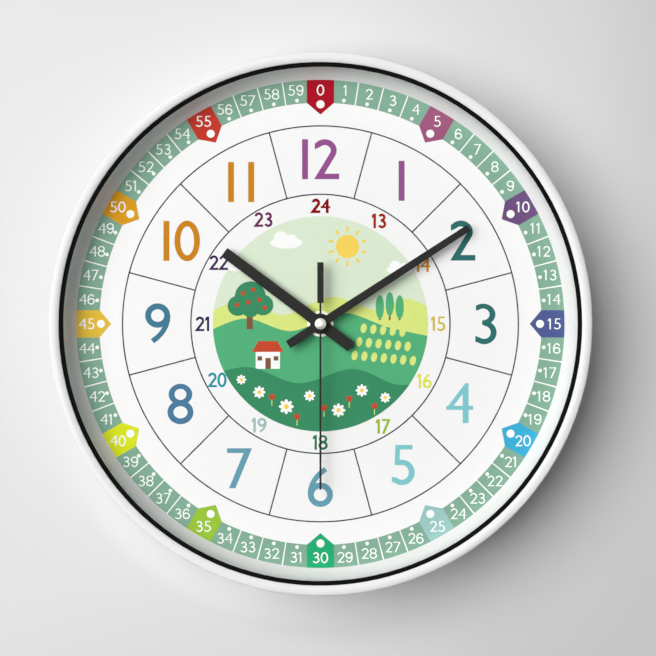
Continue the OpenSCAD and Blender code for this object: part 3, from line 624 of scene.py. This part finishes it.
for k, (name, r, g, b) in enumerate(DAY_INKS):
    number = 12 + k if k else 24
    x, y = polar(DAY_R, 30 * k)
    dx, dy = DAY_NUDGE.get(number, (0.0, 0.0))
    bold = DAY_BOLD.get(number, DAY_STROKE)
    mat = ink("ink_day_" + name, r, g, b)
    write(day, str(number), (x + dx, y + dy), DAY_HIGH, bold, day_step, 1, mat, "day", DAY_WIDE)
day.build()

# Picture in the middle, with a hole for the shaft
DISC_R, HOLE_R = 59.8, 7.2
DISC = circle(0, 0, DISC_R, 200)
HOLE = circle(0, 0, HOLE_R, 64)
art = Print("print_centre_picture")
pale = ink("ink_pale_green", 218, 233, 208)
green = ink("ink_leaf_green", 84, 176, 122)
deep = ink("ink_deep_green", 58, 140, 98)
lime = ink("ink_lime", 218, 232, 130)
brick = ink("ink_brick", 198, 74, 46)
snow = ink("ink_snow", 250, 251, 249)
sun = ink("ink_sun", 246, 212, 92)
bark = ink("ink_bark", 132, 86, 62)


def draw(loops, level, mat):
    art.lay(fill(loops, inside=DISC, holes=[HOLE]), level, mat)


def hill(points):
    return curve(points) + [(64, -64), (-64, -64)]


draw([DISC], 1, pale)

# Sun with ten rays
sun_x, sun_y = 15, 43
rays = []
for i in range(10):
    turn = math.radians(36 * i + 18)
    c, s = math.cos(turn), math.sin(turn)
    rays.append(stroke((sun_x + 8.2 * c, sun_y + 8.2 * s), (sun_x + 11 * c, sun_y + 11 * s), 1.3))
draw([circle(sun_x, sun_y, 6.5, 40)] + rays, 2, sun)

# Clouds: place and size
for x, y, k in ((-19, 45, 1.0), (44, 30, 0.8), (-46, 31, 0.62)):
    puffs = [circle(x - 3 * k, y + 2.4 * k, 4 * k, 36), circle(x + 3 * k, y + 1.6 * k, 3.2 * k, 36)]
    draw([ellipse(x, y, 9 * k, 3.2 * k)] + puffs, 2, snow)

# Hills, and a field with three rows of bushes
draw([hill([(-66, 4), (-44, 13), (-20, 5), (6, 15), (30, 8), (48, 14), (66, 6)])], 3, lime)
draw([hill([(-66, -6), (-42, 3), (-16, -4), (12, 6), (38, -2), (66, -8)])], 4, green)
draw([hill([(-66, -30), (-40, -24), (-12, -33), (18, -25), (44, -34), (66, -28)])], 5, deep)
for x, y, n in ((24, -2.5, 5), (21.5, -10, 6), (19, -17.5, 7)):
    draw([ellipse(x + 5.4 * i, y - 0.5 * i, 1.7, 2.7, -12) for i in range(n)], 5, lime)

# Apple tree
crown = [(-39, 15, 8.6, 48), (-46, 10, 5.6, 40), (-32, 10.5, 5.8, 40), (-39, 8.6, 5, 40)]
apples = [(-43, 17), (-37.5, 19), (-34, 13.5), (-40, 12), (-46.5, 10.5), (-31, 9)]
draw([box(-41, -3, -37.6, 9)], 5, bark)
draw([circle(*bush) for bush in crown], 6, deep)
draw([circle(x, y, 1.25, 20) for x, y in apples], 7, brick)

# House: wall, roof, door and two windows
draw([box(-36, -25, -22.5, -15.5)], 5, snow)
draw([[(-38, -15.6), (-20.5, -15.6), (-24, -9.6), (-34.5, -9.6)]], 6, brick)
draw([box(-30.6, -25, -27.6, -19), box(-35, -20.4, -32.4, -18), box(-26, -20.4, -23.4, -18)], 6, bark)

# Three slim trees, the middle one a little higher
middle_x = 38.5
for x in (33, middle_x, 44):
    draw([box(x - 0.5, 2, x + 0.5, 6)], 5, bark)
    draw([ellipse(x, 11 - abs(x - middle_x) * 0.3, 2.3, 6.6)], 6, green)

# Daisies: place and size
daisies = [(-34, -38, 1.0), (-19, -46, 1.2), (-6, -40, 0.9), (10, -48, 1.1), (23, -37, 1.0), (36, -41, 0.85),
           (-44, -31, 0.8)]
for x, y, k in daisies:
    petals = []
    for i in range(8):
        turn = 2 * math.pi * i / 8
        px, py = x + 2 * k * math.cos(turn), y + 2 * k * math.sin(turn)
        petals.append(ellipse(px, py, 1.5 * k, 0.85 * k, math.degrees(turn), 20))
    draw(petals, 6, snow)
    draw([circle(x, y, 1.15 * k, 24)], 7, sun)

# Tulips with their stalks
tulip = [(-1.7, 2.2), (-0.85, 1.2), (0, 2.4), (0.85, 1.2), (1.7, 2.2), (1.4, -0.6), (0, -1.5), (-1.4, -0.6)]
for x, y in ((-27, -41), (2, -47), (16, -42), (30, -46), (-13, -52)):
    draw([[(x + px, y + py) for px, py in tulip]], 6, brick)
    draw([stroke((x, y - 1.4), (x, y - 4.6), 0.5)], 6, lime)
art.build()


# Wall behind the clock, seen from the front only
WALL_Y, WALL_HALF = 0.0006, 4
# Painted light: grey of the paint falls off with distance in m from its lightest place, up and to the left,
# as the key lamp's light would
PAINTED_LIGHT_AT = (-0.26, WALL_Y, AXIS_Z + 0.11)
PAINTED_FALLOFF_GREYS = [(0.07, 0.612), (0.2, 0.59), (0.28, 0.585), (0.34, 0.551), (0.41, 0.519), (0.46, 0.452),
              (0.52, 0.43)]
# Painted light: an even glow of the wall lifts its shadow; painted light raises the glow at both ends of the
# shadow, and painted shade lowers it where the case meets the wall
PAINTED_GLOW = 0.072
# The shadow falls towards a dial angle. Painted light lifts both its ends, and the lower end more. Radii are
# in m; the angle ranges of the painted lift and of the painted contact shade are cosines to the shadow's
# direction.
SHADE_TO, SHADE_SKEW = 110, 0.08
PAINTED_LIFT_ANGLES = (0.15, 0.85)
PAINTED_LIFT_R = (0.154, 0.172)
PAINTED_LIFT, PAINTED_LIFT_LOWER = 0.095, 0.085
# Painted shade: the glow is lowered where the case meets the wall on the shadow's side, so the shadow is
# deepest there
PAINTED_SHADE_R, PAINTED_SHADE = (0.152, 0.159), 0.056
PAINTED_SHADE_SIDE = (0.75, 0.97)
# Mirrored rays from closer than this pass the wall
MIRROR_GAP = 0.012

corners = [(-WALL_HALF, -WALL_HALF), (WALL_HALF, -WALL_HALF), (WALL_HALF, WALL_HALF), (-WALL_HALF, WALL_HALF)]
wall_mesh = bpy.data.meshes.new("wall")
wall_mesh.from_pydata([(x, WALL_Y, z) for x, z in corners], [], [(0, 1, 2, 3)])
wall = bpy.data.objects.new("wall", wall_mesh)
SCENE.collection.objects.link(wall)
paint = bpy.data.materials.new("wall_paint")
paint.use_nodes = True
wall_mesh.materials.append(paint)
tree = paint.node_tree
tree.nodes.clear()
link = tree.links.new
place = tree.nodes.new("ShaderNodeTexCoord").outputs["Object"]

matt = tree.nodes.new("ShaderNodeBsdfDiffuse")
# Painted light falloff: the wall's grey by distance from the painted lightest place
from_painted_light = vectors(tree, "DISTANCE", place, PAINTED_LIGHT_AT).outputs["Value"]
link(stops(tree, from_painted_light, [(at, (grey, grey, grey)) for at, grey in PAINTED_FALLOFF_GREYS]), matt.inputs["Color"])

# Painted light and shade as emission: a lift at both ends of the shadow and a darker line along the case on
# its far side
shade_x, shade_z = polar(1, SHADE_TO)
from_axis = vectors(tree, "SUBTRACT", place, (0, WALL_Y, AXIS_Z)).outputs["Vector"]
radius = vectors(tree, "LENGTH", from_axis).outputs["Value"]
outward = vectors(tree, "NORMALIZE", from_axis).outputs["Vector"]
along = vectors(tree, "DOT_PRODUCT", outward, (shade_x, 0, shade_z)).outputs["Value"]
aside = maths(tree, "ABSOLUTE", maths(tree, "SUBTRACT", along, SHADE_SKEW), 0.0)
painted_lift_angle = spread(tree, aside, PAINTED_LIFT_ANGLES, (1.0, 0.0))
painted_lift_angle.clamp = False
near = spread(tree, radius, PAINTED_LIFT_R, (1.0, 0.0))
down = vectors(tree, "DOT_PRODUCT", outward, (0, 0, -PAINTED_LIFT_LOWER)).outputs["Value"]
ends = maths(tree, "MULTIPLY", painted_lift_angle.outputs["Result"], near.outputs["Result"])
painted_lift = maths(tree, "MULTIPLY", maths(tree, "ADD", down, PAINTED_LIFT), ends)
painted_shade_near = spread(tree, radius, PAINTED_SHADE_R, (PAINTED_SHADE, 0.0))
painted_shade_side = spread(tree, along, PAINTED_SHADE_SIDE, (0.0, 1.0))
painted_contact_shade = maths(tree, "MULTIPLY", painted_shade_near.outputs["Result"], painted_shade_side.outputs["Result"])
# Glow of the wall: painted light, the even lift plus the painted end lifts, less the painted contact shade
painted_glow = add(tree, "ShaderNodeEmission", Color=(1, 1, 1, 1))
link(maths(tree, "ADD", painted_lift, maths(tree, "SUBTRACT", PAINTED_GLOW, painted_contact_shade)), painted_glow.inputs["Strength"])
lifted = tree.nodes.new("ShaderNodeAddShader")
link(matt.outputs["BSDF"], lifted.inputs[0])
link(painted_glow.outputs["Emission"], lifted.inputs[1])

path = tree.nodes.new("ShaderNodeLightPath")
faces = tree.nodes.new("ShaderNodeNewGeometry")
mirrored = maths(tree, "MAXIMUM", path.outputs["Is Glossy Ray"], path.outputs["Is Transmission Ray"])
distant = maths(tree, "GREATER_THAN", path.outputs["Ray Length"], MIRROR_GAP)
seen = maths(tree, "MAXIMUM", path.outputs["Is Camera Ray"], maths(tree, "MULTIPLY", mirrored, distant))
front = maths(tree, "SUBTRACT", 1.0, faces.outputs["Backfacing"])
clear = tree.nodes.new("ShaderNodeBsdfTransparent")
mix = tree.nodes.new("ShaderNodeMixShader")
output = tree.nodes.new("ShaderNodeOutputMaterial")
link(maths(tree, "MULTIPLY", seen, front), mix.inputs["Fac"])
link(clear.outputs["BSDF"], mix.inputs[1])
link(lifted.outputs["Shader"], mix.inputs[2])
link(mix.outputs["Shader"], output.inputs["Surface"])


# Lamps: name, place in m from the middle of the clock, width in m and power in W. The key is large and soft,
# from the left and above. The last four stand behind the wall and light the back and the edge of the case.
CENTRE = Vector((0, -0.021, AXIS_Z))
LAMPS = [("key", (-3.44, -5.84, 1.4), 6.8, 772), ("fill", (0.1, -4.0, 0.3), 1.6, 6),
         ("rear", (0.5, 2.2, 0.7), 1.6, 40), ("side", (2.1, 1.3, -0.7), 1.6, 36),
         ("above", (0.5, 0.3, 2.2), 1.0, 10), ("below", (-1.0, 0.3, -2.0), 1.0, 10)]
for name, offset, width, power in LAMPS:
    light = bpy.data.lights.new(name, "AREA")
    light.shape = "DISK"
    light.size = width
    light.energy = power
    lamp = bpy.data.objects.new(name, light)
    lamp.location = CENTRE + Vector(offset)
    lamp.rotation_euler = Vector(offset).to_track_quat("Z", "Y").to_euler()
    lamp.visible_camera = False
    lamp.visible_glossy = name == "key"
    SCENE.collection.objects.link(lamp)

# World: a weak sky. The camera sees a pale backdrop, and so does gloss, darker towards the floor.
SKY, BACKDROP, FLOOR = 0.035, 0.86, 0.12
FLOOR_Z = (-0.9, -0.2)
world = bpy.data.worlds.new("studio")
SCENE.world = world
world.use_nodes = True
tree = world.node_tree
tree.nodes.clear()
link = tree.links.new
path = tree.nodes.new("ShaderNodeLightPath")
height = tree.nodes.new("ShaderNodeSeparateXYZ")
link(tree.nodes.new("ShaderNodeTexCoord").outputs["Generated"], height.inputs["Vector"])
floor = spread(tree, height.outputs["Z"], FLOOR_Z, (FLOOR, BACKDROP))
sky = add(tree, "ShaderNodeBackground", Color=(1, 1, 1, 1), Strength=SKY)
studio = add(tree, "ShaderNodeBackground", Color=(1, 1, 1, 1))
link(floor.outputs["Result"], studio.inputs["Strength"])
shown = add(tree, "ShaderNodeBackground", Color=(BACKDROP, BACKDROP, BACKDROP, 1), Strength=1.0)
gloss = tree.nodes.new("ShaderNodeMixShader")
link(path.outputs["Is Glossy Ray"], gloss.inputs["Fac"])
link(sky.outputs["Background"], gloss.inputs[1])
link(studio.outputs["Background"], gloss.inputs[2])
mix = tree.nodes.new("ShaderNodeMixShader")
direct = maths(tree, "MAXIMUM", path.outputs["Is Camera Ray"], path.outputs["Is Transmission Ray"])
link(direct, mix.inputs["Fac"])
link(gloss.outputs["Shader"], mix.inputs[1])
link(shown.outputs["Background"], mix.inputs[2])
output = tree.nodes.new("ShaderNodeOutputWorld")
link(mix.outputs["Shader"], output.inputs["Surface"])

# Camera straight on, 2.5 m in front of the rim; the axis of the hands is a little off the frame's middle
FRAME_PX = 656
AXIS_PX = (319.95, 323.35)
MIDDLE_PX = (FRAME_PX - 1) / 2
CAMERA_Y, LENS = -2.537, 248.4
view = bpy.data.cameras.new("camera")
view.sensor_width = 36
view.lens = LENS
view.shift_x = (MIDDLE_PX - AXIS_PX[0]) / FRAME_PX
view.shift_y = (AXIS_PX[1] - MIDDLE_PX) / FRAME_PX
view.clip_end = 50
camera = bpy.data.objects.new("camera", view)
camera.location = (0, CAMERA_Y, AXIS_Z)
camera.rotation_euler = (math.pi / 2, 0, 0)
SCENE.collection.objects.link(camera)
SCENE.camera = camera
SCENE.view_settings.view_transform = "Standard"
